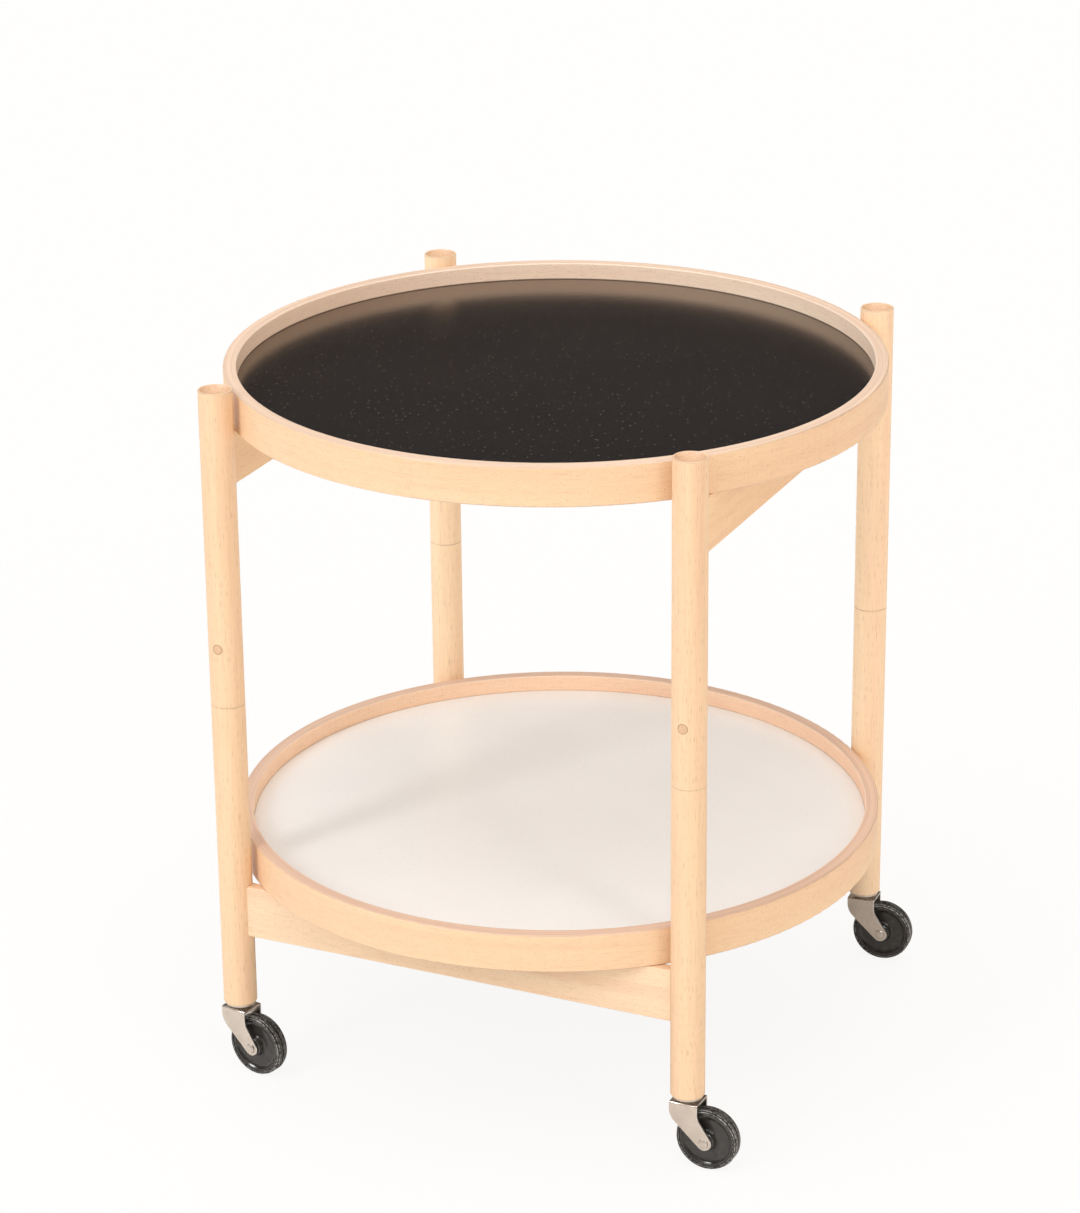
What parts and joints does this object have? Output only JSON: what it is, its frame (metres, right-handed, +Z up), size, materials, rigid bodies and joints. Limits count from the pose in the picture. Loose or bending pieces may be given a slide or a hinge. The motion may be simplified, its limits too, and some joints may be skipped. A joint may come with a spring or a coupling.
{
  "type": "tray table",
  "caption": "Round tiered tray table on swivel casters: lift-off reversible trays lie on the rails of a beech frame whose split legs fold about upright pivots.",
  "frame": {"origin": "on the floor, midway between the four legs", "axes": "+Z up, +X along the front from the left leg to the right leg, +Y to the rear"},
  "size_m": [0.6, 0.6, 0.668],
  "materials": {
    "beech": "clear oiled beech, satin",
    "panel_board": "bare fibreboard edge",
    "black_laminate": "fine-textured satin black laminate",
    "white_laminate": "satin warm white laminate",
    "steel": "satin plated sheet steel",
    "wheel_black": "semi-gloss black plastic",
    "tyre_black": "black rubber, half matt"
  },
  "bodies": {
    "front_lower_frame": {"front_lower_rail": "beech", "lower_leg_front_left": "beech", "lower_leg_front_right": "beech", "pivot_dowel_front_left": "beech", "pivot_dowel_front_right": "beech", "caster_sleeve_front_left": "steel", "caster_sleeve_front_right": "steel"},
    "left_upper_frame": {"left_upper_rail": "beech", "upper_leg_front_left": "beech", "upper_leg_rear_left": "beech", "peg_front_left": "beech", "peg_rear_left": "beech"},
    "right_upper_frame": {"right_upper_rail": "beech", "upper_leg_front_right": "beech", "upper_leg_rear_right": "beech", "peg_front_right": "beech", "peg_rear_right": "beech"},
    "rear_lower_frame": {"rear_lower_rail": "beech", "lower_leg_rear_right": "beech", "lower_leg_rear_left": "beech", "pivot_dowel_rear_right": "beech", "pivot_dowel_rear_left": "beech", "caster_sleeve_rear_right": "steel", "caster_sleeve_rear_left": "steel"},
    "upper_tray": {"upper_tray_rim": "beech", "upper_tray_core": "panel_board", "upper_tray_black_laminate": "black_laminate", "upper_tray_white_laminate": "white_laminate"},
    "lower_tray": {"lower_tray_rim": "beech", "lower_tray_core": "panel_board", "lower_tray_white_laminate": "white_laminate", "lower_tray_black_laminate": "black_laminate"},
    "caster_front_left": {"caster_stem_front_left": "steel", "caster_washer_front_left": "steel", "caster_fork_front_left": "steel", "axle_rivet_front_left": "steel"},
    "wheel_front_left": {"wheel_centre_front_left": "wheel_black", "tyre_front_left": "tyre_black"},
    "caster_front_right": {"caster_stem_front_right": "steel", "caster_washer_front_right": "steel", "caster_fork_front_right": "steel", "axle_rivet_front_right": "steel"},
    "wheel_front_right": {"wheel_centre_front_right": "wheel_black", "tyre_front_right": "tyre_black"},
    "caster_rear_right": {"caster_stem_rear_right": "steel", "caster_washer_rear_right": "steel", "caster_fork_rear_right": "steel", "axle_rivet_rear_right": "steel"},
    "wheel_rear_right": {"wheel_centre_rear_right": "wheel_black", "tyre_rear_right": "tyre_black"},
    "caster_rear_left": {"caster_stem_rear_left": "steel", "caster_washer_rear_left": "steel", "caster_fork_rear_left": "steel", "axle_rivet_rear_left": "steel"},
    "wheel_rear_left": {"wheel_centre_rear_left": "wheel_black", "tyre_rear_left": "tyre_black"}
  },
  "joints": [
    {"name": "fold_left", "type": "hinge", "parent": "front_lower_frame", "child": "left_upper_frame", "pos_m": [-0.2255, -0.2255, 0.37], "axis": [0, 0, 1], "range_deg": [-0.4, 0.4]},
    {"name": "fold_right", "type": "hinge", "parent": "front_lower_frame", "child": "right_upper_frame", "pos_m": [0.2255, -0.2255, 0.37], "axis": [0, 0, 1], "range_deg": [-0.4, 0.4]},
    {"name": "fold_rear", "type": "hinge", "parent": "left_upper_frame", "child": "rear_lower_frame", "pos_m": [-0.2255, 0.2255, 0.37], "axis": [0, 0, 1], "range_deg": [-0.4, 0.4]},
    {"name": "upper_tray_lift", "type": "slide", "parent": "left_upper_frame", "child": "upper_tray", "axis": [0, 0, 1], "range_m": [0, 0.15]},
    {"name": "lower_tray_lift", "type": "slide", "parent": "front_lower_frame", "child": "lower_tray", "axis": [0, 0, 1], "range_m": [0, 0.34]},
    {"name": "swivel_front_left", "type": "hinge", "parent": "front_lower_frame", "child": "caster_front_left", "pos_m": [-0.2255, -0.2255, 0.06425], "axis": [0, 0, 1], "continuous": true},
    {"name": "roll_front_left", "type": "hinge", "parent": "caster_front_left", "child": "wheel_front_left", "pos_m": [-0.20557, -0.22937, 0.029], "axis": [0.1908, 0.9816, 0], "continuous": true},
    {"name": "swivel_front_right", "type": "hinge", "parent": "front_lower_frame", "child": "caster_front_right", "pos_m": [0.2255, -0.2255, 0.06425], "axis": [0, 0, 1], "continuous": true},
    {"name": "roll_front_right", "type": "hinge", "parent": "caster_front_right", "child": "wheel_front_right", "pos_m": [0.2458, -0.2255, 0.029], "axis": [0, 1, 0], "continuous": true},
    {"name": "swivel_rear_right", "type": "hinge", "parent": "rear_lower_frame", "child": "caster_rear_right", "pos_m": [0.2255, 0.2255, 0.06425], "axis": [0, 0, 1], "continuous": true},
    {"name": "roll_rear_right", "type": "hinge", "parent": "caster_rear_right", "child": "wheel_rear_right", "pos_m": [0.24575, 0.22691, 0.029], "axis": [-0.0698, 0.9976, 0], "continuous": true},
    {"name": "swivel_rear_left", "type": "hinge", "parent": "rear_lower_frame", "child": "caster_rear_left", "pos_m": [-0.2255, 0.2255, 0.06425], "axis": [0, 0, 1], "continuous": true},
    {"name": "roll_rear_left", "type": "hinge", "parent": "caster_rear_left", "child": "wheel_rear_left", "pos_m": [-0.20521, 0.2262, 0.029], "axis": [-0.0349, 0.9994, 0], "continuous": true}
  ],
  "couplings": [
    {"joint": "fold_right", "follows": "fold_left", "ratio": 1},
    {"joint": "fold_rear", "follows": "fold_left", "ratio": -1}
  ]
}
